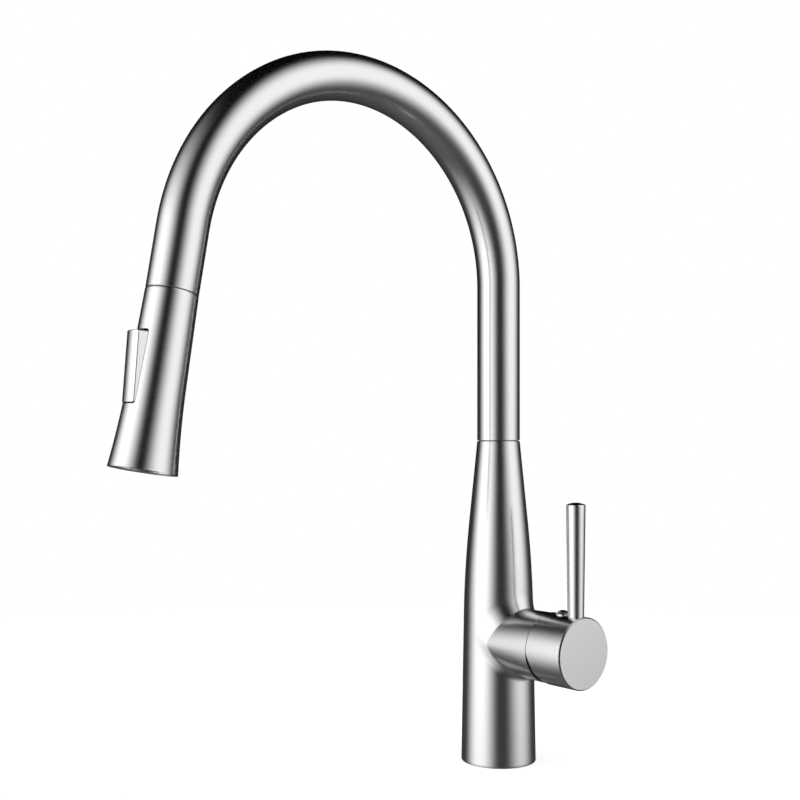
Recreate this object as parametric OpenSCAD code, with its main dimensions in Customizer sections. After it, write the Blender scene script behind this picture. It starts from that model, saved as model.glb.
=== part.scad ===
// Pull-down kitchen faucet with a side lever.
// The origin is on the deck, under the middle of the body. +Z is up,
// the outlet lies towards -Y and the handle towards +X. Millimetres.

/* [Body] */
// Radius of the body where it meets the deck
base_r = 24.45; // [24:0.05:25.5]
// Height of the seam between the body and the spout
seam_z = 209.4; // [205:0.1:215]
// Wall of the body casting
body_wall = 2.6; // [2.2:0.1:2.8]
// Thickness of the worktop that the mounting kit grips
deck_t = 34; // [20:1:38]

/* [Handle] */
// Height of the handle's axis above the deck
handle_z = 79.5; // [77:0.1:82]
// Radius of the fixed hub
hub_r = 22; // [21.8:0.1:22.4]
// Distance from the body's axis to the end of the fixed hub
hub_len = 46; // [45.9:0.1:46.2]
// Radius of the knob
knob_r = 22.4; // [22.2:0.1:22.8]
// Distance from the body's axis to the knob's flat face
knob_end = 74.5; // [73:0.1:76]
// Chamfer round the knob's flat face
knob_edge = 0.8; // [0.4:0.1:1.2]
// Undercut that lets the knob tip outwards, in degrees
knob_cut = 16; // [15.5:0.5:20]
// Height of the lever's tip above the deck
lever_top = 171.6; // [140:0.1:200]
// Radius of the lever where it meets the knob
lever_root_r = 5.05; // [4.5:0.05:5.3]
// Radius of the lever near its tip
lever_tip_r = 5.95; // [5:0.05:7]

/* [Spout] */
// Outer radius of the spout tube
tube_r = 14; // [13.9:0.05:14.1]
// Wall of the spout tube
tube_wall = 1.2; // [1:0.05:1.2]
// Height at which the spout starts to bend
bend_z = 309.9; // [280:0.1:340]
// Radius of the first bend
bend_r1 = 114.6; // [100:0.1:130]
// Sweep of the first bend, in degrees
bend_a1 = 116.7; // [110:0.1:118]
// Radius of the second bend
bend_r2 = 124.7; // [115:0.1:140]
// Sweep of the second bend, in degrees
bend_a2 = 53.1; // [50:0.1:60]
// Straight end of the tube that the spray head docks in
dock_len = 36; // [36:0.5:44]

/* [Spray head] */
// Length of the spray head's shell
head_len = 95; // [94.8:0.1:99]
// Radius of the shell at its top
head_r = 14.05; // [14:0.05:14.2]
// Radius of the shell at its rim
rim_r = 18.2; // [18:0.1:18.6]
// Half width of the spray button
button_w = 6.55; // [6.3:0.05:7]

/* [Hidden] */

$fn = 96;
arc_steps = 16;      // steps of the long shallow arcs
eps = 0.01;          // overrun of a cut past the face it opens
seat_gap = 0.02;     // gap of parts seated in one another
run_gap = 0.05;      // radial gap of parts that turn in one another
lap = 0.08;          // step between merged stretches of one pipe
lap_run = 0.3;       // overlap of merged stretches
lap_ang = 0.15;
edge = 0.4;          // small chamfer on turned edges

steel = "#c9cacb";
black = "#26272a";
white = "#e8e8e4";
brass = "#c8a657";
ceramic = "#f1efe9";
plastic = "#8f9499";

// Body outline: a slow taper below and a quicker one above, joined by one large arc
taper_low = 0.0167;
taper_high = 0.1;
corner_z = (tube_r + taper_high * seam_z - base_r) / (taper_high - taper_low);
corner_r = base_r - taper_low * corner_z;
body_arc_r = 735;
low_ang = atan(taper_low);
high_ang = atan(taper_high);
mid_ang = (low_ang + high_ang) / 2;
body_arc_c = [corner_r, corner_z]
    - body_arc_r / cos((high_ang - low_ang) / 2) * [cos(mid_ang), sin(mid_ang)];
foot_gap = 0.3;      // the casting stands clear of the deck on its gasket
web_top = 10;        // top of the floor that carries the shank
neck_z = 165;        // shoulder under the swivel
neck_r = 12;         // bore of the swivel
hub_bore = 20;

// Mounting kit
shank_r = 16.5;
shank_bore = 14.7;
shank_bottom = -deck_t - 26;
thread_pitch = 2;
thread_depth = 0.7;
gasket_in = 18.6;
gasket_out = 22.4;
gasket_top = 2.3;
washer_in = 17;
washer_out = 27;
rubber_t = 4;
plate_t = 2;
nut_top = -deck_t - rubber_t - plate_t - 2;
nut_h = 10;
nut_corner_r = 25;
clamp_count = 3;
clamp_pitch_r = 20.3;
clamp_r = 2.5;
clamp_head_r = 4;
clamp_head_h = 4;
clamp_len = 20;

// Cartridge, measured along the handle's axis from the body's axis
block_back = 1.9;
block_front = 43.2;
pocket_x = 16;
pocket_r = 17.55;
mouth_x = 34.9;
mouth_r = 18.7;
port_r = 3;
inlet_at = [6.6, -6.6];      // across and above the axis
outlet_at = [0, 7.6];
port_places = [inlet_at, [-inlet_at[0], inlet_at[1]], outlet_at];
hose_tap_r = 3.5;
inlet_tap = [6.9, 8];        // where the inlet hoses screw in, from the body's axis
outlet_tap = [10.56, 0];
tap_places = [inlet_tap, [inlet_tap[0], -inlet_tap[1]], outlet_tap];
block_flat = -17;            // flat under the block, from the axis
tap_top = 73.9;
outlet_top = 88.9;
hose_lane_r = 5.7;           // groove in the block for the spray hose
base_x = 20;
seal_t = 1.4;
disc_x = 23;
fixed_disc_r = 14;
film = 0.1;                  // gap between the lapped discs
moving_disc_r = 10.6;
moving_disc_way_r = 7.6;     // hollow that joins the ports
carrier_x = 26;
rotor_x = 29.6;
rotor_end = 41;
rotor_r = 14.4;
housing_r = 17.4;
housing_bore = 14.6;
housing_step_x = 35;
housing_step_r = 15.6;
housing_end = 43;
notch = 1.5;                 // depth of the nut's notches
housing_mouth = 10.4;
pivot_x = 39;
pivot_pin_r = 1.5;
stem_w = 7.6;
stem_ball_r = 2.4;
stem_ball_x = 28.6;
stem_back = 33;
stem_end = 66;
rotor_slot = [8.2, 15];
dome_r = 14.5;
dome_wall = 1.3;
dome_x = 43.3;
dome_flange_x = 45.7;
dome_mouth = 9.8;

// Handle
knob_start = hub_len + 0.3;
knob_bore = 19.4;
knob_floor = pivot_x + dome_r + 0.5;
cut_rise = 1.1;              // the undercut starts this far above the axis
socket_w = stem_w + 0.2;
lever_x = 67.6;
stud_r = 2.5;
stud_low = 9;
stud_high = 34;
screw_x = 57;
screw_low = stem_w / 2 + 0.1;
screw_len = 10;
screw_r = 2.5;
key_r = 1.4;
key_depth = 3;
plug_r = 4.4;
plug_seat = 20.4;
plug_rise = 2.3;
plug_lift = 0.3;             // the plug's side stands this far proud of the knob
plug_ball_r = (plug_r * plug_r + plug_rise * plug_rise) / (2 * plug_rise);
lever_dome = 1.5;            // height of the lever's rounded tip
lever_dome_r = (lever_tip_r * lever_tip_r + lever_dome * lever_dome) / (2 * lever_dome);
lever_dome_ang = asin(lever_tip_r / lever_dome_r);
dome_steps = 6;

// Spout path, in the plane of the spout: first number is along Y, second along Z
bend_c1 = [-bend_r1, bend_z];
bend_c2 = bend_c1 + (bend_r1 - bend_r2) * [cos(bend_a1), sin(bend_a1)];
out_ang = bend_a1 + bend_a2;
outlet_at_yz = bend_c2 + bend_r2 * [cos(out_ang), sin(out_ang)];
tube_start = seam_z + 0.4;
tube_bore = tube_r - tube_wall;
journal_r = 10.4;
journal_bore = 8;
journal_bottom = 160;
journal_flange = 14;
bushing_h = 8;
bushing_gap = 2.5;           // below the seam
oring_z = 188;
oring_r = 1.2;
clip_z = 163.3;
clip_h = 1.5;
clip_in = 9.6;
clip_out = 13.2;

// Docking, measured along the outlet from the end of the bends
dock_start = 20;
dock_bore = 9.8;
magnet_at = 25;
magnet_h = 6;
magnet_in = 10.8;
hose_r = 5.2;
hose_bore = 3.4;
hose_end_u = 10;
hose_bottom = -84;
hose_ring_r = 6.3;
ferrule_u = 0.4;
plug_pin_r = 4.9;            // the plug that joins the hose under the deck
plug_len = 26;
plug_collar_r = 7.2;
plug_collar_z = 18;
ring_h = 14;
plug_ring_z = 20;            // seal's groove, below the end of the hose
plug_ring_h = 2;
plug_groove_r = 3.9;
bore_r = 2.6;                // bore of the fittings
tail_flange_r = 6.5;
tail_flange_u = 13;
tail_flange_h = 1.5;
tail_start = 2;
tail_neck_r = 4.6;
nut_u = 11;
nut_len = 12;
nut_r = 9;
nut_shoulder = 12.8;
nipple_u = 16.1;
nipple_r = 7;
collar_u = 24;
collar_r = 9.6;
keeper_u = 26;
keeper_h = 5;
keeper_in = 8.6;
spigot_r = 8.4;
spigot_end = 46;
collar_bore = 4.2;
check_h = 10;

// Spray head
head_u = dock_len + 0.3;
head_end = head_u + head_len;
flare_u = 85;                // where the shell starts to flare
flare_slope = 0.0226;
flare_run = head_end - flare_u;
flare_start_r = head_r + flare_slope * (flare_u - head_u);
flare_rise = rim_r - flare_start_r;
flare_ang = atan(flare_slope);
flare_turn = 2 * (atan(flare_rise / flare_run) - flare_ang);
flare_arc_r = norm([flare_run, flare_rise]) / (2 * sin(flare_turn / 2));
flare_c = [flare_start_r, flare_u] + flare_arc_r * [cos(flare_ang), -sin(flare_ang)];
head_wall = 1.4;
head_top_t = 3.2;
slot_w = button_w + 0.25;
slot_top = 59.25;
slot_bottom = 98.4;
slot_corner = 1.4;
core_r = 9;
core_cap_r = 11.5;
core_cap_u = 40;
core_cap_end = 50;
core_end = 118;
core_flange_u = 112;
core_flange_r = 14.8;
water_r = 2.2;
spray_way_y = -6.4;          // way from the spool to the outer ring of nozzles
spray_way_r = 1.5;
spray_turn_u = 115;
flat_y = 5;                  // flat on the core behind the button
flat_u = [56, 101];
ear_x = [7.3, 9];
ear_y = 9.8;
ear_u = [83, 89];
pin_y = 7.8;
pin_u = 86;
pin_r = 1.2;
pin_len = 18;
button_tilt = 5.5;
button_front_r = 14.2;
button_crown = 9.45;         // crown of the button above its pin
button_back = -0.5;
button_up = -26.15;
button_down = 11.15;
button_corner = 1.2;
spool_u = 68;
spool_r = 2.5;
spool_tip = 8.65;
spool_back = -5.4;
spool_rings = [1.5, -3];     // places of the spool's two seals
spool_groove = 0.8;
spool_ring_h = 1.2;
face_u = head_end - 2;
plate_r = 16;
plate_h = 5;
aerator_r = 9;
aerator_bore = 7.6;
aerator_u = core_end + 0.05;
aerator_proud = 0.6;
screen_u = 126.5;
screen_t = 1.2;
mat_t = 2;
mat_r = 15.6;
nozzle_r = 0.8;
nozzle_proud = 0.8;
jet_r = 0.35;
nozzle_rings = [[12, 10.9], [18, 13.7]];   // count and pitch radius of each ring

// Places a shape, drawn along +Z, on the handle's axis at distance x
module on_hub(x) translate([x, 0, handle_z]) rotate([0, 90, 0]) children();

// Places a shape, drawn along +Z, upright above the handle's axis at x
module above_hub(x, z) translate([x, 0, handle_z + z]) children();

// Places a shape in the outlet's frame: +Z along the outlet, +Y outwards
module outlet() translate([0, outlet_at_yz[0], outlet_at_yz[1]]) rotate([out_ang, 0, 0]) children();

// Places a flat shape's plane into the plane of the spout
module spout_plane(at) translate([0, at[0], at[1]]) rotate([90, 0, 90]) children();

module tube(ro, ri, h) difference() {
    cylinder(r = ro, h = h);
    translate([0, 0, -eps]) cylinder(r = ri, h = h + 2 * eps);
}

// A turned disc or sleeve with a chamfer on its far outer edge
module chamfered(r, h, c) rotate_extrude()
    polygon([[0, 0], [r, 0], [r, h - c], [r - c, h], [0, h]]);

module rounded_slot(w, low, high, c) {
    translate([-w, low + c]) square([2 * w, high - low - 2 * c]);
    translate([-w + c, low]) square([2 * (w - c), high - low]);
    for (x = [-w + c, w - c], y = [low + c, high - c]) translate([x, y]) circle(r = c);
}

// The whole run of a pipe: straight, two bends and a straight end. The second bend
// is a hair thicker than its neighbours and overlaps them, so that they merge.
module spout_run(ro, ri, start, end) {
    translate([0, 0, start]) tube(ro, ri, bend_z - start);
    spout_plane(bend_c1) rotate_extrude(angle = bend_a1, $fn = 180)
        translate([bend_r1, 0]) pipe_section(ro, ri);
    spout_plane(bend_c2)
        rotate_extrude(angle = bend_a2 + lap_ang, start = bend_a1 - lap_ang, $fn = 180)
            translate([bend_r2, 0]) pipe_section(ro + lap, ri - lap);
    outlet() translate([0, 0, -lap_run]) tube(ro, ri, end + lap_run);
}

module pipe_section(ro, ri) difference() {
    circle(r = ro);
    circle(r = ri);
}

// ---- Body ----

module body_outline() polygon(concat(
    [[0, foot_gap], [base_r - edge, foot_gap], [base_r, foot_gap + 2 * edge]],
    [for (i = [0 : arc_steps]) let (a = low_ang + (high_ang - low_ang) * i / arc_steps)
        body_arc_c + body_arc_r * [cos(a), sin(a)]],
    [[tube_r + taper_high * edge, seam_z - edge], [tube_r - edge / 2, seam_z], [0, seam_z]]));

module body_cavity() polygon([[0, web_top], [base_r - body_wall - edge, web_top],
    [corner_r - body_wall - edge, corner_z - 20],
    [corner_r - body_wall - 2, corner_z + 15],
    [neck_r + 3.5, neck_z], [neck_r, neck_z],
    [neck_r, seam_z + eps], [0, seam_z + eps]]);

module body_shell() color(steel) difference() {
    union() {
        rotate_extrude($fn = 144) body_outline();
        on_hub(0) chamfered(hub_r, hub_len, edge / 2, $fn = 144);
    }
    rotate_extrude() body_cavity();
    on_hub(0) cylinder(r = hub_bore, h = hub_len + eps);
    translate([0, 0, foot_gap - eps]) cylinder(r = shank_r + seat_gap, h = web_top);
    translate([0, 0, foot_gap - eps]) tube(gasket_out + seat_gap, gasket_in - seat_gap,
        gasket_top - foot_gap + eps);
}

module deck_gasket() color(black) tube(gasket_out, gasket_in, gasket_top);

// The thread is a row of rings at the real pitch
module shank() color(brass) rotate_extrude() {
    turns = floor((-2 - shank_bottom) / thread_pitch);
    polygon(concat(
        [[shank_bore, shank_bottom]],
        [for (i = [0 : turns - 1], k = [0, 1])
            [shank_r - thread_depth * (1 - k), shank_bottom + (i + k / 2) * thread_pitch]],
        [[shank_r - thread_depth, shank_bottom + turns * thread_pitch],
         [shank_r, shank_bottom + (turns + 0.5) * thread_pitch],
         [shank_r, web_top], [shank_bore, web_top]]));
}

module deck_rubber_washer() color(black) translate([0, 0, -deck_t - rubber_t])
    tube(washer_out, washer_in, rubber_t);

module deck_steel_washer() color(steel) translate([0, 0, -deck_t - rubber_t - plate_t])
    tube(washer_out, washer_in, plate_t);

module around_clamps() for (i = [0 : clamp_count - 1])
    rotate([0, 0, 90 + i * 360 / clamp_count]) translate([clamp_pitch_r, 0, 0]) children();

module mounting_nut() color(brass) difference() {
    translate([0, 0, nut_top - nut_h]) cylinder(r = nut_corner_r, h = nut_h, $fn = 6);
    translate([0, 0, nut_top - nut_h - eps]) cylinder(r = shank_r + run_gap, h = nut_h + 1);
    around_clamps() translate([0, 0, nut_top - nut_h - eps])
        cylinder(r = clamp_r + seat_gap, h = nut_h + 1);
}

module clamp_screws() color(steel) around_clamps()
    translate([0, 0, -deck_t - rubber_t - plate_t - clamp_len]) {
        cylinder(r = clamp_r, h = clamp_len);
        cylinder(r = clamp_head_r, h = clamp_head_h, $fn = 6);
    }

// ---- Valve ----

module valve_block() color(brass) difference() {
    on_hub(block_back) cylinder(r = hub_bore - seat_gap, h = block_front - block_back);
    on_hub(pocket_x) cylinder(r = pocket_r, h = block_front);
    on_hub(mouth_x) cylinder(r = mouth_r, h = block_front);
    cylinder(r = hose_lane_r, h = seam_z);
    translate([0, -hub_r, 0]) cube([pocket_x + 12, 2 * hub_r, handle_z + block_flat]);
    for (t = [0 : 2]) {
        translate([tap_places[t][0], tap_places[t][1], 0]) cylinder(r = hose_tap_r, h = tap_top);
        translate([tap_places[t][0], port_places[t][0], handle_z + port_places[t][1]])
            rotate([0, 90, 0]) cylinder(r = port_r, h = pocket_x);
    }
    translate([outlet_tap[0], outlet_tap[1], 0]) cylinder(r = port_r, h = outlet_top);
}

// One copy at each of the cartridge's three ports
module at_ports(x) for (p = port_places)
    translate([x, p[0], handle_z + p[1]]) rotate([0, 90, 0]) children();

module cartridge_base() color(plastic) difference() {
    on_hub(pocket_x) cylinder(r = housing_r, h = base_x - pocket_x);
    at_ports(pocket_x - eps) cylinder(r = port_r, h = base_x);
    at_ports(pocket_x - eps) cylinder(r = port_r + seal_t, h = seal_t);
}

module port_seals() color(black) at_ports(pocket_x)
    tube(port_r + seal_t - seat_gap, port_r, seal_t - seat_gap);

module fixed_disc() color(ceramic) difference() {
    on_hub(base_x) cylinder(r = fixed_disc_r, h = disc_x - base_x);
    at_ports(base_x - eps) cylinder(r = port_r, h = disc_x);
}

module moving_disc() color(ceramic) difference() {
    on_hub(disc_x + film) cylinder(r = moving_disc_r, h = carrier_x - disc_x - film);
    on_hub(disc_x) cylinder(r = moving_disc_way_r, h = (carrier_x - disc_x) / 2);
}

module disc_carrier() color(white) difference() {
    on_hub(carrier_x) cylinder(r = moving_disc_r, h = rotor_x - carrier_x - 0.2);
    on_hub(carrier_x - eps) cylinder(r = stem_ball_r + 0.2, h = rotor_x);
}

module cartridge_housing() color(plastic) difference() {
    union() {
        on_hub(base_x) cylinder(r = housing_r, h = housing_step_x - base_x);
        on_hub(base_x) cylinder(r = housing_step_r, h = housing_end - base_x);
    }
    on_hub(base_x - eps) cylinder(r = housing_bore, h = rotor_end + 0.2 - base_x);
    on_hub(base_x) cylinder(r = housing_mouth, h = housing_end);
}

module cartridge_rotor() color(white) difference() {
    on_hub(rotor_x) cylinder(r = rotor_r, h = rotor_end - rotor_x);
    translate([rotor_x - 1, -rotor_slot[0] / 2, handle_z - rotor_slot[1] / 2])
        cube([rotor_end, rotor_slot[0], rotor_slot[1]]);
    pivot_rod(pivot_pin_r + seat_gap, 2 * rotor_r);
}

// A rod across the pivot of the stem
module pivot_rod(r, l) translate([pivot_x, -l / 2, handle_z]) rotate([-90, 0, 0])
    cylinder(r = r, h = l);

module stem_pin() color(steel) pivot_rod(pivot_pin_r, 2 * rotor_r - 2);

module cartridge_stem() color(steel) difference() {
    union() {
        translate([stem_back, -stem_w / 2, handle_z - stem_w / 2])
            cube([stem_end - stem_back, stem_w, stem_w]);
        on_hub(stem_ball_x) cylinder(r = stem_ball_r - 0.4, h = stem_back + 1 - stem_ball_x);
        translate([stem_ball_x, 0, handle_z]) sphere(r = stem_ball_r);
    }
    pivot_rod(pivot_pin_r + run_gap, 2 * stem_w);
}

// Four notches for a spanner in the front face
module cartridge_nut() color(brass) difference() {
    on_hub(housing_step_x) tube(mouth_r - seat_gap, housing_step_r + seat_gap,
        housing_end - housing_step_x);
    for (a = [0, 90]) translate([housing_end, 0, handle_z]) rotate([a, 0, 0])
        cube([2 * notch, 2 * notch, 3 * mouth_r], center = true);
}

// A ring with a ball-shaped front, turned about the pivot of the stem
module trim_dome() color(steel) on_hub(pivot_x) rotate_extrude() difference() {
    intersection() {
        union() {
            circle(r = dome_r);
            translate([0, dome_x - pivot_x])
                square([hub_bore - seat_gap, dome_flange_x - dome_x]);
        }
        translate([dome_mouth, dome_x - pivot_x]) square(hub_bore);
    }
    circle(r = dome_r - dome_wall);
}

// ---- Handle ----

module knob_undercut() translate([knob_start, 0, handle_z + cut_rise])
    rotate([0, -knob_cut, 0]) translate([-3 * hub_r, -2 * hub_r, -3 * hub_r])
        cube([3 * hub_r, 4 * hub_r, 3 * hub_r]);

module handle_knob() color(steel) difference() {
    on_hub(knob_start) rotate_extrude($fn = 144) polygon([[0, 0], [knob_r - edge, 0],
        [knob_r, edge], [knob_r, knob_end - knob_start - knob_edge],
        [knob_r - knob_edge, knob_end - knob_start], [0, knob_end - knob_start]]);
    on_hub(knob_start - eps) cylinder(r = knob_bore, h = knob_floor - knob_start);
    translate([knob_start, -socket_w / 2, handle_z - socket_w / 2])
        cube([stem_end + 0.2 - knob_start, socket_w, socket_w]);
    above_hub(lever_x, stud_low) cylinder(r = stud_r + seat_gap, h = hub_r);
    above_hub(screw_x, 0) cylinder(r = screw_r + seat_gap, h = knob_r);
    above_hub(screw_x, plug_seat) cylinder(r = plug_r + seat_gap, h = hub_r);
    knob_undercut();
}

module lever() color(steel) difference() {
    translate([lever_x, 0, 0]) rotate_extrude() polygon(concat(
        [[0, handle_z], [lever_root_r, handle_z], [lever_root_r, handle_z + knob_r]],
        [for (i = [dome_steps : -1 : 0]) let (a = lever_dome_ang * i / dome_steps)
            [lever_dome_r * sin(a), lever_top - lever_dome_r * (1 - cos(a))]]));
    on_hub(knob_start) cylinder(r = knob_r + seat_gap, h = knob_end);
    above_hub(lever_x, 0) cylinder(r = stud_r + seat_gap, h = stud_high + 1);
}

module lever_stud() color(steel) above_hub(lever_x, stud_low + 0.2)
    cylinder(r = stud_r, h = stud_high - stud_low);

module handle_set_screw() color(black) difference() {
    above_hub(screw_x, screw_low) cylinder(r = screw_r, h = screw_len);
    above_hub(screw_x, screw_low + screw_len - key_depth)
        cylinder(r = key_r, h = screw_len, $fn = 6);
}

module index_plug() color(steel) intersection() {
    above_hub(screw_x, plug_seat) cylinder(r = plug_r, h = hub_r);
    above_hub(screw_x, knob_r + plug_lift + plug_rise - plug_ball_r) union() {
        sphere(r = plug_ball_r);
        translate([0, 0, -knob_r]) cylinder(r = plug_r, h = knob_r + plug_ball_r - plug_rise);
    }
}

// ---- Spout ----

module gooseneck_tube() color(steel) spout_run(tube_r, tube_bore, tube_start, dock_len);

module spout_journal() color(brass) difference() {
    union() {
        translate([0, 0, journal_bottom]) cylinder(r = journal_r, h = tube_start - journal_bottom);
        translate([0, 0, tube_start]) cylinder(r = tube_bore - seat_gap, h = journal_flange);
    }
    translate([0, 0, journal_bottom - eps])
        cylinder(r = journal_bore, h = tube_start + journal_flange);
    translate([0, 0, clip_z]) tube(clip_out, clip_in - seat_gap, clip_h + seat_gap);
    translate([0, 0, oring_z]) rotate_extrude()
        translate([neck_r - oring_r - run_gap, 0]) circle(r = oring_r + seat_gap);
}

module journal_oring() color(black) translate([0, 0, oring_z]) rotate_extrude()
    translate([neck_r - oring_r - run_gap, 0]) circle(r = oring_r);

module spout_clip() color(steel) difference() {
    translate([0, 0, clip_z]) tube(clip_out, clip_in, clip_h);
    translate([0, -clip_h, clip_z - clip_h]) cube([clip_out + 1, 2 * clip_h, 3 * clip_h]);
}

module swivel_bushings() color(white)
    for (z = [seam_z - bushing_gap - bushing_h, neck_z + bushing_gap])
        translate([0, 0, z]) tube(neck_r - seat_gap, journal_r + run_gap, bushing_h);

module swivel_washer() color(black) translate([0, 0, seam_z])
    tube(tube_bore, journal_r + run_gap, tube_start - seam_z - run_gap);

module dock_insert() color(black) outlet() difference() {
    translate([0, 0, dock_start]) tube(tube_bore - seat_gap, dock_bore, dock_len - dock_start);
    translate([0, 0, magnet_at]) tube(tube_r, magnet_in, magnet_h);
}

module dock_magnet() color(plastic) outlet() translate([0, 0, magnet_at + seat_gap])
    tube(tube_bore - seat_gap, magnet_in + seat_gap, magnet_h - 2 * seat_gap);

module spray_hose() color(plastic) spout_run(hose_r, hose_bore, hose_bottom, hose_end_u);

module hose_coupling() color(brass) difference() {
    translate([0, 0, hose_bottom - plug_len]) rotate_extrude() polygon([
        [bore_r, 0], [plug_pin_r - edge, 0], [plug_pin_r, 2 * edge],
        [plug_pin_r, plug_collar_z], [plug_collar_r, plug_collar_z],
        [plug_collar_r, plug_len - edge], [hose_ring_r, plug_len],
        [hose_ring_r, plug_len + ring_h], [hose_r + seat_gap, plug_len + ring_h],
        [hose_r + seat_gap, plug_len - seat_gap], [bore_r, plug_len - seat_gap]]);
    translate([0, 0, hose_bottom - plug_ring_z]) tube(plug_collar_r, plug_groove_r, plug_ring_h);
}

module coupling_oring() color(black) translate([0, 0, hose_bottom - plug_ring_z + seat_gap])
    tube(plug_pin_r - seat_gap, plug_groove_r + seat_gap, plug_ring_h - 2 * seat_gap);

// ---- Hose end ----

module hose_ferrule() color(steel) outlet() translate([0, 0, ferrule_u])
    tube(hose_ring_r, hose_r + run_gap, hose_end_u - ferrule_u);

module hose_tailpiece() color(brass) outlet() difference() {
    union() {
        translate([0, 0, tail_start]) cylinder(r = hose_bore - 0.1, h = tail_flange_u - tail_start);
        translate([0, 0, hose_end_u + run_gap])
            cylinder(r = tail_neck_r, h = tail_flange_u - hose_end_u - run_gap);
        translate([0, 0, tail_flange_u]) cylinder(r = tail_flange_r, h = tail_flange_h);
    }
    cylinder(r = water_r, h = 2 * nut_len);
}

// ---- Spray head ----

module hose_nut() color(brass) outlet() difference() {
    translate([0, 0, nut_u]) cylinder(r = nut_r, h = nut_len, $fn = 6);
    translate([0, 0, nut_u - eps]) cylinder(r = tail_neck_r + 0.15, h = nut_len);
    translate([0, 0, nut_shoulder]) cylinder(r = nipple_r + seat_gap, h = nut_len);
}

module hose_washer() color(black) outlet()
    translate([0, 0, tail_flange_u + tail_flange_h + run_gap])
        tube(tail_flange_r, bore_r, nipple_u - tail_flange_u - tail_flange_h - 2 * run_gap);

module docking_collar() color(plastic) outlet() difference() {
    union() {
        translate([0, 0, nipple_u]) cylinder(r = nipple_r, h = collar_u - nipple_u);
        translate([0, 0, collar_u]) rotate_extrude() polygon([[0, 0], [collar_r - 1, 0],
            [collar_r, 1], [collar_r, head_u - collar_u], [0, head_u - collar_u]]);
        translate([0, 0, head_u]) cylinder(r = spigot_r, h = spigot_end - head_u);
    }
    translate([0, 0, nipple_u - eps]) cylinder(r = bore_r, h = spigot_end);
    translate([0, 0, keeper_u]) cylinder(r = collar_bore, h = spigot_end);
    translate([0, 0, keeper_u]) tube(collar_r + 1, keeper_in, keeper_h);
}

module keeper_ring() color(steel) outlet() translate([0, 0, keeper_u + seat_gap])
    tube(collar_r, keeper_in + seat_gap, keeper_h - 2 * seat_gap);

module check_valve() color(white) outlet() translate([0, 0, keeper_u + seat_gap])
    tube(collar_bore - seat_gap, water_r, check_h);

// The flare is one arc that leaves the taper without a kink
flare = [for (i = [0 : arc_steps]) let (a = flare_ang + flare_turn * i / arc_steps)
    flare_c + flare_arc_r * [-cos(a), sin(a)]];

module shell_section() polygon(concat(
    [[0, head_u], [head_r - edge / 2, head_u], [head_r, head_u + edge]], flare,
    [for (i = [arc_steps : -1 : 0]) flare[i] - [head_wall, 0]],
    [[head_r - head_wall, head_u + head_top_t], [0, head_u + head_top_t]]));

module spray_shell() color(steel) outlet() difference() {
    rotate_extrude($fn = 144) shell_section();
    translate([0, 0, head_u - eps]) cylinder(r = spigot_r + seat_gap, h = head_top_t + 1);
    button_slot();
}

module button_slot() rotate([90, 0, 0]) mirror([0, 0, 1]) translate([0, 0, flat_y])
    linear_extrude(rim_r) rounded_slot(slot_w, slot_top, slot_bottom, slot_corner);

module head_core() color(plastic) outlet() difference() {
    union() {
        translate([0, 0, core_cap_u]) cylinder(r = core_cap_r, h = core_cap_end - core_cap_u);
        difference() {
            translate([0, 0, core_cap_u]) cylinder(r = core_r, h = core_end - core_cap_u);
            translate([-core_r, flat_y, flat_u[0]])
                cube([2 * core_r, core_r, flat_u[1] - flat_u[0]]);
        }
        translate([0, 0, core_flange_u])
            cylinder(r = core_flange_r, h = core_end - core_flange_u);
        for (s = [0, 1]) mirror([s, 0, 0]) translate([ear_x[0], 0, ear_u[0]])
            cube([ear_x[1] - ear_x[0], ear_y, ear_u[1] - ear_u[0]]);
    }
    translate([0, 0, core_cap_u - eps])
        cylinder(r = spigot_r + seat_gap, h = spigot_end + 0.3 - core_cap_u);
    translate([0, 0, core_cap_u]) cylinder(r = water_r, h = core_end);
    translate([0, spray_way_y, spool_u]) cylinder(r = spray_way_r, h = spray_turn_u - spool_u);
    translate([0, 0, spray_turn_u]) rotate([90, 0, 0]) translate([0, 0, -spray_way_y])
        cylinder(r = spray_way_r, h = core_flange_r);
    translate([0, -core_flange_r, spool_u]) rotate([-90, 0, 0])
        cylinder(r = spool_r + run_gap, h = 2 * core_flange_r);
    button_rod(pin_r + seat_gap, pin_len + 1);
}

module button_rod(r, l) translate([-l / 2, pin_y, pin_u]) rotate([0, 90, 0])
    cylinder(r = r, h = l);

module button_pin() color(steel) outlet() button_rod(pin_r, pin_len);

// The button leans outwards at its top, about its pin
module spray_button() color(steel) outlet() difference() {
    translate([0, pin_y, pin_u]) rotate([button_tilt, 0, 0]) {
        intersection() {
            rotate([90, 0, 0]) mirror([0, 0, 1]) translate([0, 0, button_back])
                linear_extrude(button_crown + 2)
                    rounded_slot(button_w, button_up, button_down, button_corner);
            translate([0, button_crown - button_front_r, button_up - 1])
                cylinder(r = button_front_r, h = button_down - button_up + 2, $fn = 144);
        }
        translate([-button_w, 0, 0]) rotate([0, 90, 0])
            cylinder(r = 2 * pin_r, h = 2 * button_w);
    }
    button_rod(pin_r + run_gap, pin_len);
}

module spool_along() translate([0, spool_back, spool_u]) rotate([-90, 0, 0]) children();

module diverter_spool() color(white) outlet() difference() {
    spool_along() cylinder(r = spool_r, h = spool_tip - spool_back);
    for (y = spool_rings) translate([0, y, spool_u]) rotate([-90, 0, 0])
        tube(spool_r + 1, spool_r - spool_groove, spool_ring_h);
}

module spool_orings() color(black) outlet() for (y = spool_rings)
    translate([0, y + seat_gap, spool_u]) rotate([-90, 0, 0])
        tube(spool_r + seat_gap, spool_r - spool_groove + seat_gap, spool_ring_h - 2 * seat_gap);

module at_nozzles() for (ring = nozzle_rings, i = [0 : ring[0] - 1])
    rotate([0, 0, i * 360 / ring[0]]) translate([ring[1], 0, 0]) children();

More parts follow.
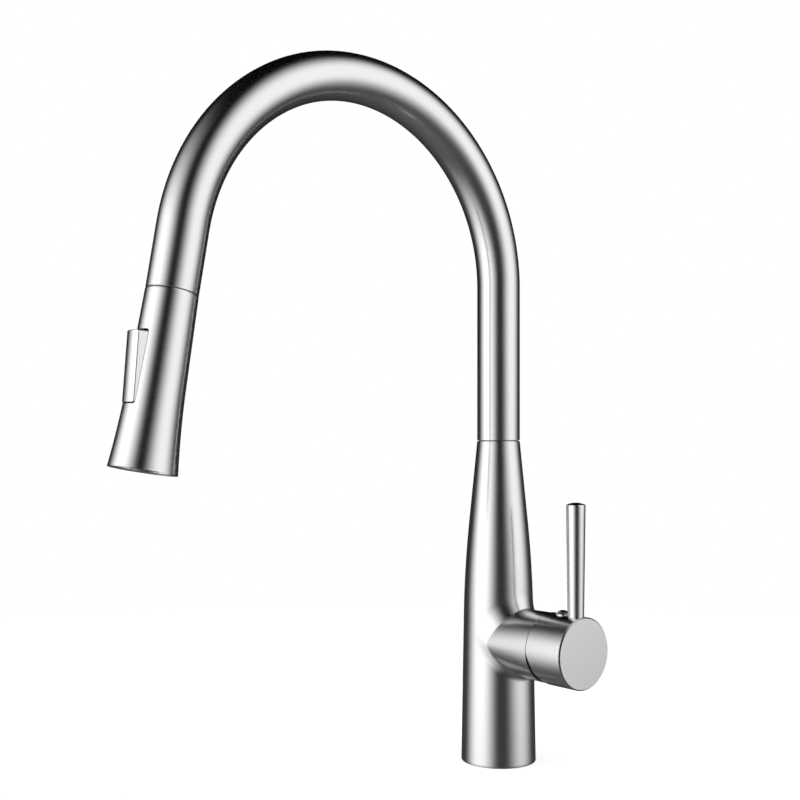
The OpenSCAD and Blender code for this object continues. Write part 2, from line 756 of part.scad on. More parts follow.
module spray_plate() color(plastic) outlet() difference() {
    translate([0, 0, face_u - plate_h]) cylinder(r = plate_r, h = plate_h);
    translate([0, 0, face_u - plate_h - eps]) cylinder(r = aerator_r + seat_gap, h = plate_h + 1);
    at_nozzles() translate([0, 0, face_u - plate_h - eps])
        cylinder(r = nozzle_r + seat_gap, h = plate_h + 1, $fn = 24);
}

module nozzle_mat() color(black) outlet() difference() {
    union() {
        translate([0, 0, face_u - plate_h - mat_t])
            tube(mat_r, aerator_r + seat_gap, mat_t);
        at_nozzles() translate([0, 0, face_u - plate_h - mat_t / 2])
            cylinder(r = nozzle_r, h = plate_h + mat_t / 2 + nozzle_proud, $fn = 24);
    }
    at_nozzles() translate([0, 0, face_u - plate_h - 2 * mat_t])
        cylinder(r = jet_r, h = 2 * plate_h, $fn = 12);
}

module aerator_housing() color(plastic) outlet() translate([0, 0, aerator_u])
    tube(aerator_r, aerator_bore, face_u + aerator_proud - aerator_u);

module aerator_screens() color(black) outlet() translate([0, 0, screen_u])
    cylinder(r = aerator_bore - seat_gap, h = screen_t);

body_shell();
deck_gasket();
shank();
deck_rubber_washer();
deck_steel_washer();
mounting_nut();
clamp_screws();
valve_block();
cartridge_base();
port_seals();
fixed_disc();
cartridge_housing();
cartridge_nut();
trim_dome();
swivel_bushings();
swivel_washer();
cartridge_rotor();
stem_pin();
moving_disc();
disc_carrier();
cartridge_stem();
handle_knob();
lever();
lever_stud();
handle_set_screw();
index_plug();
gooseneck_tube();
spout_journal();
journal_oring();
spout_clip();
dock_insert();
dock_magnet();
spray_hose();
hose_coupling();
coupling_oring();
hose_ferrule();
hose_tailpiece();
hose_nut();
hose_washer();
docking_collar();
keeper_ring();
check_valve();
spray_shell();
head_core();
button_pin();
spray_plate();
nozzle_mat();
aerator_housing();
aerator_screens();
spray_button();
diverter_spool();
spool_orings();
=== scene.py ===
import math

import bmesh
import bpy
import numpy as np
from mathutils import Matrix, Vector


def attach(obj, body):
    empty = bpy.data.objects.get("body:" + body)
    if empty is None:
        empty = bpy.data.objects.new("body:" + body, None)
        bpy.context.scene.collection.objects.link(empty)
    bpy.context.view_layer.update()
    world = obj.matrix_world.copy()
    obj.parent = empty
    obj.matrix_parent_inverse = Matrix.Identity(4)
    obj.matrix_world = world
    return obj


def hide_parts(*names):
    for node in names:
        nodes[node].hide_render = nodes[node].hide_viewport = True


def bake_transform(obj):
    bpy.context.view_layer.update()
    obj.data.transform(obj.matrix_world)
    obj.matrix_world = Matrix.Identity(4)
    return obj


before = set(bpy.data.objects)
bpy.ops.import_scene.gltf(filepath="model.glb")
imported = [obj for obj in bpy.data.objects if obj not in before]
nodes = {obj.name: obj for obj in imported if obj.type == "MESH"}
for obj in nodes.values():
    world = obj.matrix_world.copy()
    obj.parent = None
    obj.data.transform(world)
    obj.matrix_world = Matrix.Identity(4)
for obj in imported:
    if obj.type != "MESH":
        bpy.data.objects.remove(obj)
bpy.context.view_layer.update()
print("frame loaded:", len(nodes), "CAD nodes")

mm = 0.001
nearAxis = 0.0002          # a ring of this radius, in millimetres, closes up into a point
scene = bpy.context.scene

# Places shared by several pieces, in millimetres and degrees
faucet = {
    "handleAxis": 79.5,
    "hubRadius": 22.0,
    "hubEnd": 46.0,
    "seamHeight": 209.4,
    "tubeRadius": 14.0,
    "tubeBore": 12.8,
    "bendStart": 309.9,
    "bends": ((114.6, 116.7), (124.7, 53.1)),     # radius and angle of each
    "tubeEnd": 36.0,       # this and the next two along the outlet, from the end of the bends
    "headStart": 36.3,
    "headEnd": 131.3,
}


# Materials

def colour(hexText):
    # sRGB hex to the linear values that Blender wants
    parts = [int(hexText[i:i + 2], 16) / 255 for i in (1, 3, 5)]
    linear = [p / 12.92 if p <= 0.04045 else ((p + 0.055) / 1.055) ** 2.4 for p in parts]
    return (*linear, 1.0)


def addNode(tree, kind, settings=None, inputs=None):
    node = tree.nodes.new(kind)
    for name, value in (settings or {}).items():
        setattr(node, name, value)
    for name, value in (inputs or {}).items():
        if isinstance(value, bpy.types.NodeSocket):
            tree.links.new(value, node.inputs[name])
        else:
            node.inputs[name].default_value = value
    return node


def newMaterial(name, hexText, **shader):
    material = bpy.data.materials.new(name)
    material.use_nodes = True
    tree = material.node_tree
    bsdf = tree.nodes["Principled BSDF"]
    bsdf.inputs["Base Color"].default_value = colour(hexText)
    for socket, value in shader.items():
        bsdf.inputs[socket.replace("_", " ")].default_value = value
    return material, tree, bsdf


def grain(tree, bsdf, coordinates, scale, roughness, depth):
    # fine grain that moves the roughness a little and dents the surface by depth millimetres;
    # the noise lies mostly between 0.3 and 0.7
    placed = addNode(tree, "ShaderNodeMapping", inputs={"Vector": coordinates, "Scale": scale})
    noise = addNode(tree, "ShaderNodeTexNoise", inputs={
        "Vector": placed.outputs[0], "Scale": 1.0, "Detail": 3.0, "Roughness": 0.6})
    ranged = addNode(tree, "ShaderNodeMapRange", inputs={
        "Value": noise.outputs[0], "From Min": 0.3, "From Max": 0.7,
        "To Min": roughness[0], "To Max": roughness[1]})
    tree.links.new(ranged.outputs[0], bsdf.inputs["Roughness"])
    bump = addNode(tree, "ShaderNodeBump", inputs={
        "Height": noise.outputs[0], "Strength": 1.0, "Distance": depth * mm})
    tree.links.new(bump.outputs[0], bsdf.inputs["Normal"])
    return noise


satin = {
    "colour": "#eceeed",
    "roughness": (0.2, 0.24),
    "lineWidth": 0.5,      # real brushing is about 0.1 mm; drawn coarser so that it shows
    "lineLength": 40.0,
    "depth": 0.0006,
}


def satinSteel(name, lines):
    # Stainless steel, brushed and buffed to satin: soft-edged reflections, and faint lines
    # along the brushing. They follow a piece's own coordinates, or run along X
    material, tree, bsdf = newMaterial(name, satin["colour"], Metallic=1.0)
    coordinates = addNode(tree, "ShaderNodeTexCoord")
    fine, long = satin["lineWidth"], satin["lineLength"]
    if lines == "uv":      # these coordinates are in millimetres
        source, scale = coordinates.outputs["UV"], (1 / fine, 1 / long, 1)
    else:
        source = coordinates.outputs["Object"]
        scale = (1 / (long * mm), 1 / (fine * mm), 1 / (fine * mm))
    grain(tree, bsdf, source, scale, satin["roughness"], satin["depth"])
    return material


lathe = {
    "ring": 0.6,           # feed marks are 0.1 to 0.2 mm apart; drawn coarser so that they show
    "cloud": 50.0,         # size of the slow change along a ring
    "depth": 0.004,
}


def machinedMetal(name, hexText, roughness):
    # Bar stock turned on a lathe: fine rings round the part, brighter where a tool passed
    material, tree, bsdf = newMaterial(name, hexText, Metallic=1.0)
    coordinates = addNode(tree, "ShaderNodeTexCoord")
    across = 1 / (lathe["cloud"] * mm)
    grain(tree, bsdf, coordinates.outputs["Object"], (across, across, 1 / (lathe["ring"] * mm)),
          roughness, lathe["depth"])
    return material


mould = {"darker": 0.88, "lighter": 1.1}      # how far its texture moves a colour


def mouldedPolymer(name, hexText, roughness, grit, depth):
    # Injection-moulded plastic or rubber: an even skin with the faint texture of the mould
    material, tree, bsdf = newMaterial(name, hexText)
    coordinates = addNode(tree, "ShaderNodeTexCoord")
    noise = grain(tree, bsdf, coordinates.outputs["Object"], 3 * (1 / (grit * mm),),
                  roughness, depth)
    base = colour(hexText)[:3]
    dark = [mould["darker"] * c for c in base]
    light = [min(1, mould["lighter"] * c) for c in base]
    mixed = addNode(tree, "ShaderNodeMix", {"data_type": "RGBA"}, {
        "Factor": noise.outputs[0], "A": (*dark, 1.0), "B": (*light, 1.0)})
    tree.links.new(mixed.outputs["Result"], bsdf.inputs["Base Color"])
    return material


braid = {
    "light": "#9a9da0",
    "dark": "#3f4246",
    "strands": 14.0,       # strand bundles each way round the hose
    "pitch": 34.0,         # length in which a bundle goes once round, mm
    "depth": 0.25,
    "roughness": 0.45,
    "sheen": 0.3,
}


def braidedNylon(name, place):
    # Nylon and steel yarn braided over the hose: diamonds of crossing strands with a soft sheen
    material, tree, bsdf = newMaterial(name, braid["light"], Roughness=braid["roughness"],
                                       Sheen_Weight=braid["sheen"])
    coordinates = addNode(tree, "ShaderNodeTexCoord")
    upright = addNode(tree, "ShaderNodeMapping", {"vector_type": "TEXTURE"}, {
        "Vector": coordinates.outputs["Object"], "Location": place.translation,
        "Rotation": place.to_euler()})
    axes = addNode(tree, "ShaderNodeSeparateXYZ", inputs={0: upright.outputs[0]})
    angle = addNode(tree, "ShaderNodeMath", {"operation": "ARCTAN2"}, {
        0: axes.outputs[0], 1: axes.outputs[1]})
    around = addNode(tree, "ShaderNodeMath", {"operation": "MULTIPLY"}, {
        0: angle.outputs[0], 1: braid["strands"]})
    along = addNode(tree, "ShaderNodeMath", {"operation": "MULTIPLY"}, {
        0: axes.outputs[2], 1: 2 * math.pi * braid["strands"] / (braid["pitch"] * mm)})
    waves = []
    for operation in ("ADD", "SUBTRACT"):
        phase = addNode(tree, "ShaderNodeMath", {"operation": operation}, {
            0: along.outputs[0], 1: around.outputs[0]})
        wave = addNode(tree, "ShaderNodeMath", {"operation": "SINE"}, {0: phase.outputs[0]})
        waves.append(addNode(tree, "ShaderNodeMath", {"operation": "ABSOLUTE"}, {
            0: wave.outputs[0]}))
    height = addNode(tree, "ShaderNodeMath", {"operation": "MULTIPLY"}, {
        0: waves[0].outputs[0], 1: waves[1].outputs[0]})
    mixed = addNode(tree, "ShaderNodeMix", {"data_type": "RGBA"}, {
        "Factor": height.outputs[0], "A": colour(braid["dark"]), "B": colour(braid["light"])})
    tree.links.new(mixed.outputs["Result"], bsdf.inputs["Base Color"])
    bump = addNode(tree, "ShaderNodeBump", inputs={
        "Height": height.outputs[0], "Strength": 1.0, "Distance": braid["depth"] * mm})
    tree.links.new(bump.outputs[0], bsdf.inputs["Normal"])
    return material


# Meshes from grids of points

mergeWithin = 0.0005       # millimetres between points that are one
sharpAngle = math.radians(32)


def gridObject(name, patches, material, place):
    # each patch is a grid of points and a grid of brushing coordinates, across the brushed
    # lines and along them, all in millimetres; place moves the points
    mesh = bpy.data.meshes.new(name)
    work = bmesh.new()
    layer = work.loops.layers.uv.new("brushing")
    place = place or Matrix.Identity(4)
    for points, flat in patches:
        rows, columns = points.shape[:2]
        made = [[work.verts.new(place @ Vector(points[r, c] * mm)) for c in range(columns)]
                for r in range(rows)]
        for r, c in np.ndindex(rows - 1, columns - 1):
            corners = ((r, c), (r, c + 1), (r + 1, c + 1), (r + 1, c))
            face = work.faces.new([made[i][j] for i, j in corners])
            for loop, (i, j) in zip(face.loops, corners):
                loop[layer].uv = flat[i, j]
    bmesh.ops.remove_doubles(work, verts=work.verts, dist=mergeWithin * mm)
    bmesh.ops.dissolve_degenerate(work, edges=work.edges, dist=mergeWithin / 5 * mm)
    bmesh.ops.recalc_face_normals(work, faces=work.faces)
    work.to_mesh(mesh)
    work.free()
    mesh.shade_smooth()
    mesh.set_sharp_from_angle(angle=sharpAngle)
    made = bpy.data.objects.new(name, mesh)
    scene.collection.objects.link(made)
    made.data.materials.append(material)
    return made


def stageObject(name, patches, material, place=None):
    made = gridObject(name, patches, material, place)
    return made


def buildPiece(name, patches, body, material, replaced=(), place=None):
    piece = gridObject(name, patches, material, place)
    if body:               # a piece that crosses a joint has none
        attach(piece, body)
    if replaced:
        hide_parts(*replaced)
    return piece


def fullTurn(segments):
    # angles all round; the last is the first again, so that a ring closes exactly
    return np.append(np.linspace(0, 2 * np.pi, segments, endpoint=False), 0)


def turned(profile, segments=96, centre=(0, 0)):
    # a profile of (radius, height) pairs turned about an upright axis, brushed along it
    profile, angle = np.array(profile, float), fullTurn(segments)
    radius, height = profile[:, :1], profile[:, 1:]
    points = np.stack([centre[0] + radius * np.cos(angle), centre[1] + radius * np.sin(angle),
                       height + 0 * angle], axis=2)
    run = np.append(0, np.cumsum(np.hypot(*np.diff(profile, axis=0).T)))
    around = np.linspace(0, 2 * np.pi, segments + 1) * profile[:, 0].max()
    flat = np.stack([np.broadcast_to(around, points.shape[:2]),
                     np.broadcast_to(run[:, None], points.shape[:2])], axis=2)
    return points, flat


def roundHole(hole, halfWidth, low, high, across, along):
    # A grid on an unrolled surface between a hole's edge and the surface's own border.
    # hole is a dense closed curve round the grid's middle; gives the places and, for
    # each column, where its end lies on that curve
    side = np.linspace(low, high, along + 1)[:-1]
    top = np.linspace(halfWidth, -halfWidth, across + 1)[:-1]
    border = np.concatenate([
        np.stack([np.full(along, halfWidth), side], 1),
        np.stack([top, np.full(across, high)], 1),
        np.stack([np.full(along, -halfWidth), side[::-1] + (high - low) / along], 1),
        np.stack([-top, np.full(across, low)], 1)])
    border = np.vstack([border, border[:1]])
    middle = hole.mean(axis=0)
    turn = np.unwrap(np.arctan2(*(hole - middle).T[::-1]))
    wanted = np.arctan2(*(border - middle).T[::-1])
    wanted = turn[0] + np.mod(wanted - turn[0], 2 * np.pi)
    at = np.interp(wanted, np.append(turn, turn[0] + 2 * np.pi), np.arange(len(hole) + 1))
    return border, at


def onCurve(curve, at):
    closed = np.vstack([curve, curve[:1]])
    index = np.arange(len(closed))
    return np.stack([np.interp(at, index, closed[:, k]) for k in range(curve.shape[1])], axis=1)


def between(start, end, rows, ease=1.0):
    t = np.linspace(0, 1, rows + 1)[:, None, None] ** ease
    return start[None] + (end - start)[None] * t


def alongPath(places, normals, angles, radius):
    # rings of these angles on a path that stays in the plane of the spout
    angle = angles[None, :, None]
    across = np.array([1.0, 0.0, 0.0])
    return places[:, None] + radius * (np.cos(angle) * normals[:, None] + np.sin(angle) * across)


# The path of the spout, and the frame of the outlet at its end

def spoutCentres():
    # of each bend: its centre, its radius, and the angles at which it starts and ends
    (r1, a1), (r2, a2) = faucet["bends"]
    first = np.array([-r1, faucet["bendStart"]])
    bend = math.radians(a1)
    second = first + (r1 - r2) * np.array([math.cos(bend), math.sin(bend)])
    return (first, r1, 0.0, bend), (second, r2, bend, bend + math.radians(a2))


outletCentre, outletRadius, _, outletAngle = spoutCentres()[1]
outletPoint = outletCentre + outletRadius * np.array([math.cos(outletAngle), math.sin(outletAngle)])
outletFrame = (Matrix.Translation((0, outletPoint[0] * mm, outletPoint[1] * mm))
               @ Matrix.Rotation(outletAngle, 4, "X"))


def spoutPath(low, beyond, step):
    # points, directions and outward normals, from a height on the riser to a distance past
    # the bends; straight stretches need only a fifth of the points
    longStep = 5 * step
    places, directions = [], []
    for height in np.arange(low, faucet["bendStart"] - step / 2, longStep):
        places.append((0.0, height))
        directions.append((0.0, 1.0))
    for centre, radius, start, end in spoutCentres():
        count = round(radius * (end - start) / step)
        for k in range(count):
            a = start + (end - start) * k / count
            places.append(centre + radius * np.array([math.cos(a), math.sin(a)]))
            directions.append((-math.sin(a), math.cos(a)))
    onward = np.array([-math.sin(outletAngle), math.cos(outletAngle)])
    for run in (*np.arange(0, beyond, longStep), beyond):
        places.append(outletPoint + onward * run)
        directions.append(onward)
    places, directions = np.array(places), np.array(directions)
    normals = np.stack([directions[:, 1], -directions[:, 0]], axis=1)
    return [np.insert(pairs, 0, 0.0, axis=1) for pairs in (places, directions, normals)]


# Camera

view = {
    "place": (0.53636, -0.52492, 0.20937),      # metres
    "turn": 50.583,
    "lens": 51.0,
    "sensor": 36.0,
    "rise": 0.0513,        # share of the frame that the lens is shifted up
}

cameraData = bpy.data.cameras.new("camera")
cameraData.lens = view["lens"]
cameraData.sensor_width = view["sensor"]
cameraData.shift_y = view["rise"]
camera = bpy.data.objects.new("camera", cameraData)
camera.location = view["place"]
camera.rotation_euler = (math.radians(90), 0, math.radians(view["turn"]))
scene.collection.objects.link(camera)
scene.camera = camera


# Studio: a plinth, a floor, a white surround and a dark tent with two soft windows

studio = {
    "floorHeight": -1200.0,
    "floorRadius": 9000.0,
    "plinthRadius": 240.0,
    "plinthHole": 17.6,
    "plinthThickness": 33.9,
    "plinthEdge": 0.6,
    "legRing": 200.0,
    "legRadius": 3.0,
    "white": "#f4f4f4",
    "glow": 0.5,
    "ambient": 0.55,
    "tentRadius": 4000.0,
    "tentCentre": 100.0,
    "tentGap": 5.0,              # between the cloth and the floor
    # each window: the place and the softness of its four edges, in degrees round the tent
    # and above its middle, how far its left and right edges lean over, and the light added
    # to the white that shows through it
    "windows": (
        {"left": (-100, 28), "right": (-31, 27), "low": (-27.5, 32), "high": (40.5, 29),
         "lean": (0.0, 0.0), "glow": 0.45},
        {"left": (36, 27), "right": (103, 26), "low": (-21.5, 27.5), "high": (57, 25),
         "lean": (0.3, -0.25), "glow": 0.05},
    ),
    "lean": (-20.0, 8.0, 14.0),  # edges lean from the first height to the last, about the middle
    "tentBottom": "#626262",     # straight down
    "tentTop": "#020202",
    "topFrom": 20.0,             # the cloth is that dark from this height up
}


def lightPath(tree):
    # 1 for camera, glossy and transmission rays, so that metal shows the same white
    path = addNode(tree, "ShaderNodeLightPath")
    first = addNode(tree, "ShaderNodeMath", {"operation": "MAXIMUM"}, {
        0: path.outputs["Is Camera Ray"], 1: path.outputs["Is Glossy Ray"]})
    return addNode(tree, "ShaderNodeMath", {"operation": "MAXIMUM"}, {
        0: first.outputs[0], 1: path.outputs["Is Transmission Ray"]}).outputs[0]


def paperWhite(name, glow):
    # White seamless paper: matt, lit by the lamps, and lifted to white where it is looked at
    material, tree, bsdf = newMaterial(name, studio["white"], Roughness=0.9)
    seen = lightPath(tree)
    tree.links.new(seen, bsdf.inputs["Emission Strength"])
    bsdf.inputs["Emission Color"].default_value = (glow, glow, glow, 1)
    return material


paper = paperWhite("paperWhite", studio["glow"])
outer, hole, edge = studio["plinthRadius"], studio["plinthHole"], studio["plinthEdge"]
deep, ground, legR = -studio["plinthThickness"], studio["floorHeight"], studio["legRadius"]
plinth = stageObject("plinth", [turned([
    (hole, deep), (hole, 0), (outer - edge, 0), (outer, -edge), (outer, deep), (hole, deep)])],
    paper)
plinth.visible_glossy = False     # or its near side would bleach the foot of the column
for k in range(3):
    a = math.radians(30 + 120 * k)
    leg = stageObject(f"plinthLeg{k}", [turned([
        (nearAxis, deep), (legR, deep), (legR, ground), (nearAxis, ground)], 24,
        (studio["legRing"] * math.cos(a), studio["legRing"] * math.sin(a)))], paper)
    leg.visible_glossy = False    # or it would draw a pale streak on the column
stageObject("floor", [turned([(1, ground), (studio["floorRadius"], ground)], 48)], paper)

world = bpy.data.worlds.new("surround")
scene.world = world
world.use_nodes = True
tree = world.node_tree
strength = addNode(tree, "ShaderNodeMapRange", inputs={
    "Value": lightPath(tree), "To Min": studio["ambient"], "To Max": 1.0})
background = tree.nodes["Background"]
background.inputs["Color"].default_value = (1, 1, 1, 1)
tree.links.new(strength.outputs[0], background.inputs["Strength"])


def tentMaterial():
    # Black cloth with two soft-edged openings; what shows through them is the white surround
    material = bpy.data.materials.new("tentCloth")
    material.use_nodes = True
    tree = material.node_tree
    tree.nodes.clear()
    coordinates = addNode(tree, "ShaderNodeTexCoord")
    axes = addNode(tree, "ShaderNodeSeparateXYZ", inputs={0: coordinates.outputs["Object"]})
    across = addNode(tree, "ShaderNodeMath", {"operation": "ARCTAN2"}, {
        0: axes.outputs[1], 1: axes.outputs[0]})
    squares = [addNode(tree, "ShaderNodeMath", {"operation": "MULTIPLY"}, {
        0: axes.outputs[k], 1: axes.outputs[k]}).outputs[0] for k in (0, 1)]
    total = addNode(tree, "ShaderNodeMath", {"operation": "ADD"}, {0: squares[0], 1: squares[1]})
    reach = addNode(tree, "ShaderNodeMath", {"operation": "SQRT"}, {0: total.outputs[0]})
    up = addNode(tree, "ShaderNodeMath", {"operation": "ARCTAN2"}, {
        0: axes.outputs[2], 1: reach.outputs[0]})

    leanLow, leanAbout, leanHigh = [math.radians(angle) for angle in studio["lean"]]
    leant = addNode(tree, "ShaderNodeClamp", inputs={
        "Value": up.outputs[0], "Min": leanLow, "Max": leanHigh})
    leaning = addNode(tree, "ShaderNodeMath", {"operation": "SUBTRACT"}, {
        0: leant.outputs[0], 1: leanAbout})

    def inside(angle, place, soft):
        # a soft edge; a negative softness turns its bright side round
        return addNode(tree, "ShaderNodeMapRange", {"interpolation_type": "SMOOTHSTEP"}, {
            "Value": angle.outputs[0], "From Min": math.radians(place - soft),
            "From Max": math.radians(place + soft)}).outputs[0]

    tone = addNode(tree, "ShaderNodeMapRange", inputs={
        "Value": up.outputs[0], "From Min": math.radians(-90),
        "From Max": math.radians(studio["topFrom"])})
    cloth = addNode(tree, "ShaderNodeMix", {"data_type": "RGBA"}, {
        "Factor": tone.outputs[0], "A": colour(studio["tentBottom"]),
        "B": colour(studio["tentTop"])})
    shader = addNode(tree, "ShaderNodeEmission", inputs={
        "Color": cloth.outputs["Result"]}).outputs[0]
    for window in studio["windows"]:
        left, right = [addNode(tree, "ShaderNodeMath", {"operation": "MULTIPLY_ADD"}, {
            0: leaning.outputs[0], 1: lean, 2: across.outputs[0]}) for lean in window["lean"]]
        share = addNode(tree, "ShaderNodeMath", {"operation": "MULTIPLY"}, {
            0: inside(left, *window["left"]), 1: inside(up, *window["low"])})
        for angle, (place, soft) in ((right, window["right"]), (up, window["high"])):
            share = addNode(tree, "ShaderNodeMath", {"operation": "MULTIPLY"}, {
                0: share.outputs[0], 1: inside(angle, place, -soft)})
        clear = addNode(tree, "ShaderNodeBsdfTransparent")
        glow = addNode(tree, "ShaderNodeEmission", inputs={"Strength": window["glow"]})
        both = addNode(tree, "ShaderNodeAddShader", inputs={
            0: clear.outputs[0], 1: glow.outputs[0]})
        shader = addNode(tree, "ShaderNodeMixShader", inputs={
            0: share.outputs[0], 1: shader, 2: both.outputs[0]}).outputs[0]
    addNode(tree, "ShaderNodeOutputMaterial", inputs={"Surface": shader})
    return material


rise = np.radians(np.arange(-90, 91, 5))
dome = studio["tentRadius"] * np.stack([np.cos(rise), np.sin(rise)], axis=1)
dome[:, 1] = np.maximum(dome[:, 1], ground + studio["tentGap"] - studio["tentCentre"])
tent = stageObject("tent", [turned(dome, 72)], tentMaterial())
tent.location.z = studio["tentCentre"] * mm
tent.rotation_euler.z = math.radians(view["turn"] - 90)
tent.visible_camera = False
tent.visible_diffuse = False
tent.visible_shadow = False
tent.visible_transmission = False
tent.visible_volume_scatter = False

lamps = {
    "key": {"place": (-0.9, -1.3, 1.5), "size": 1.2, "power": 14.0},
    "fill": {"place": (1.4, 0.7, 1.1), "size": 1.4, "power": 8.0},
}
lampAim = Vector((0, 0, 0.2))
for name, lamp in lamps.items():
    data = bpy.data.lights.new(name, "AREA")
    data.energy, data.size = lamp["power"], lamp["size"]
    light = bpy.data.objects.new(name, data)
    light.location = lamp["place"]
    toAim = lampAim - Vector(lamp["place"])
    light.rotation_euler = toAim.to_track_quat("-Z", "Y").to_euler()
    light.visible_glossy = False       # the tent's windows are what the metal shows
    scene.collection.objects.link(light)
scene.view_settings.view_transform = "Standard"
print("studio and camera ready")


# Finishes of the CAD nodes

satinTurned = satinSteel("satinStainlessAlongUv", "uv")
satinPlain = satinSteel("satinStainless", "object")
# Zinc-plated steel: cool grey, slightly cloudy
zincPlated = machinedMetal("zincPlatedSteel", "#c3c6c8", roughness=(0.28, 0.42))
# Nickel plate on the magnet: brighter and warmer than zinc
nickelPlated = machinedMetal("nickelPlated", "#cfcac0", roughness=(0.2, 0.3))
# Turned brass: warm yellow, bright on the tool marks
turnedBrass = machinedMetal("turnedBrass", "#d8b36a", roughness=(0.18, 0.32))
# Black oxide on steel: nearly black with a dull metal gleam
blackOxide = machinedMetal("blackOxideSteel", "#3a3b3d", roughness=(0.4, 0.5))
# EPDM rubber: soft matt black
epdmRubber = mouldedPolymer("epdmRubber", "#232324", roughness=(0.6, 0.75),
                            grit=0.8, depth=0.02)
# Silicone of the nozzles: grey, slightly waxy
silicone = mouldedPolymer("siliconeGrey", "#6d7073", roughness=(0.5, 0.6),
                          grit=0.6, depth=0.01)
# Acetal: milky white, low sheen
acetal = mouldedPolymer("acetalWhite", "#dcdbd4", roughness=(0.38, 0.48),
                        grit=0.7, depth=0.01)
# ABS: moulded mid grey with a fine spark-eroded texture
absPlastic = mouldedPolymer("absGrey", "#8d9195", roughness=(0.42, 0.52),
                            grit=0.5, depth=0.02)
# Glass-filled nylon: black, matt
nylon = mouldedPolymer("nylonBlack", "#2a2b2d", roughness=(0.5, 0.62),
                       grit=0.5, depth=0.02)
# Alumina: off-white, lapped almost to a mirror
alumina = mouldedPolymer("aluminaCeramic", "#ece7db", roughness=(0.12, 0.18),
                         grit=0.4, depth=0.001)
hoseUp = braidedNylon("braidedNylonUpright", Matrix.Identity(4))
hoseOut = braidedNylon("braidedNylonOutlet", outletFrame)

finishes = {
    satinPlain: "handle_knob lever index_plug trim_dome",
    zincPlated: "clamp_screws deck_steel_washer stem_pin lever_stud cartridge_stem spout_clip"
                " hose_ferrule button_pin keeper_ring",
    nickelPlated: "dock_magnet",
    turnedBrass: "mounting_nut valve_block cartridge_nut spout_journal hose_coupling"
                 " hose_tailpiece hose_nut",
    blackOxide: "handle_set_screw",
    epdmRubber: "deck_gasket deck_rubber_washer port_seals journal_oring coupling_oring"
                " hose_washer spool_orings",
    silicone: "nozzle_mat",
    acetal: "disc_carrier cartridge_rotor swivel_bushings check_valve diverter_spool",
    absPlastic: "cartridge_base cartridge_housing head_core aerator_housing",
    nylon: "dock_insert swivel_washer docking_collar spray_plate",
    alumina: "fixed_disc moving_disc",
}
for material, names in finishes.items():
    for name in names.split():
        nodes[name].data.materials.clear()
        nodes[name].data.materials.append(material)
print("finishes set on the CAD nodes")


# Body casting: a tapered column that swells a little to meet its side hub

body = {
    "footRadius": 24.45,
    "footGap": 0.3,
    "skirt": (23.2, 0.05),       # the outer wall hides the gasket almost down to the deck
    "lowTaper": 0.0167,
    "highTaper": 0.1,
    "arcRadius": 735.0,
    "flare": (1.0, 2.2),         # the column swells towards the hub: by this much below and above
    "flareWidth": (3.2, 10.0),   # and over this width
    "flareGrows": (-1.0, 0.3),   # from the first height to the second, in radii of the hub
    "blend": 0.25,
    "drawnIn": (1.6, 0.9),       # below and above, the hub starts this much closer to its axis
    "drawnSoft": 0.02,           # rounds the change from one quarter of the hub to the next
    "hubEdge": 0.15,
    "footEdge": (0.1, 0.25),     # inwards and up
    "topEdge": (0.25, 0.35),     # inwards and down
    "wall": 2.95,
    "floorTop": 10.0,
    "narrowing": (125.0, 160.0),     # heights between which the inside narrows to the mouth
    "mouthRadius": 15.5,
    "neckEdge": 0.1,
    "neckHeight": 165.0,
    "neckRadius": 12.0,
    "shankHole": 16.52,
    "hubBore": 20.0,
    "creasePoints": 1440,
    "across": 144,
    "along": 90,
    "rows": (72, 40),            # outside and inside, closer together near the hub
    "rowEase": 1.8,
}


def bodyRadius(height):
    # slow taper below, quick taper above, one large arc between
    low, high = body["lowTaper"], body["highTaper"]
    top, seam = faucet["tubeRadius"], faucet["seamHeight"]
    cornerZ = (top + high * seam - body["footRadius"]) / (high - low)
    cornerR = body["footRadius"] - low * cornerZ
    a0, a1 = math.atan(low), math.atan(high)
    mid, half = (a0 + a1) / 2, (a1 - a0) / 2
    radius = body["arcRadius"]
    centreR = cornerR - radius / math.cos(half) * math.cos(mid)
    centreZ = cornerZ - radius / math.cos(half) * math.sin(mid)
    lift = np.clip(height - centreZ, radius * math.sin(a0), radius * math.sin(a1))
    reach = np.sqrt(radius ** 2 - lift ** 2)
    return centreR + reach - lift / reach * (height - centreZ - lift)


def cavityRadius(height):
    inner = bodyRadius(height) - body["wall"]
    return inner + (body["mouthRadius"] - inner) * np.interp(height, body["narrowing"], (0, 1))


def flareAt(height, pair):
    # the flare is small under the hub and grows to its full size at two thirds of its height
    share = (height - faucet["handleAxis"]) / faucet["hubRadius"]
    return np.interp(share, body["flareGrows"], pair)


def drawnIn(turn):
    # nothing over the hub, at its sides and under it, and most half way between them
    soft = body["drawnSoft"]
    side = np.sqrt(np.sin(2 * turn) ** 2 + soft) - math.sqrt(soft)
    below, above = body["drawnIn"]
    return side * np.where(np.sin(turn) < 0, below, above)


def hubMeeting(radiusAt, hubRadius, flared):
    # the crease all round the hub, where it leaves the column; flared is 1 outside, 0 inside
    turn = np.linspace(0, 2 * np.pi, body["creasePoints"], endpoint=False)
    radius = hubRadius - flared * drawnIn(turn)
    height, side = faucet["handleAxis"] + radius * np.sin(turn), radius * np.cos(turn)
    column = radiusAt(height) + flared * flareAt(height, body["flare"])
    reach = np.sqrt(column ** 2 - side ** 2)
    return turn, np.arctan2(side, reach), height, reach, radius


def distanceTo(curve, grid):
    # to the nearest point of the curve, and which point that is
    apart = [((row[:, None] - curve[None]) ** 2).sum(2) for row in grid]
    return np.sqrt([row.min(1) for row in apart]), np.array([row.argmin(1) for row in apart])


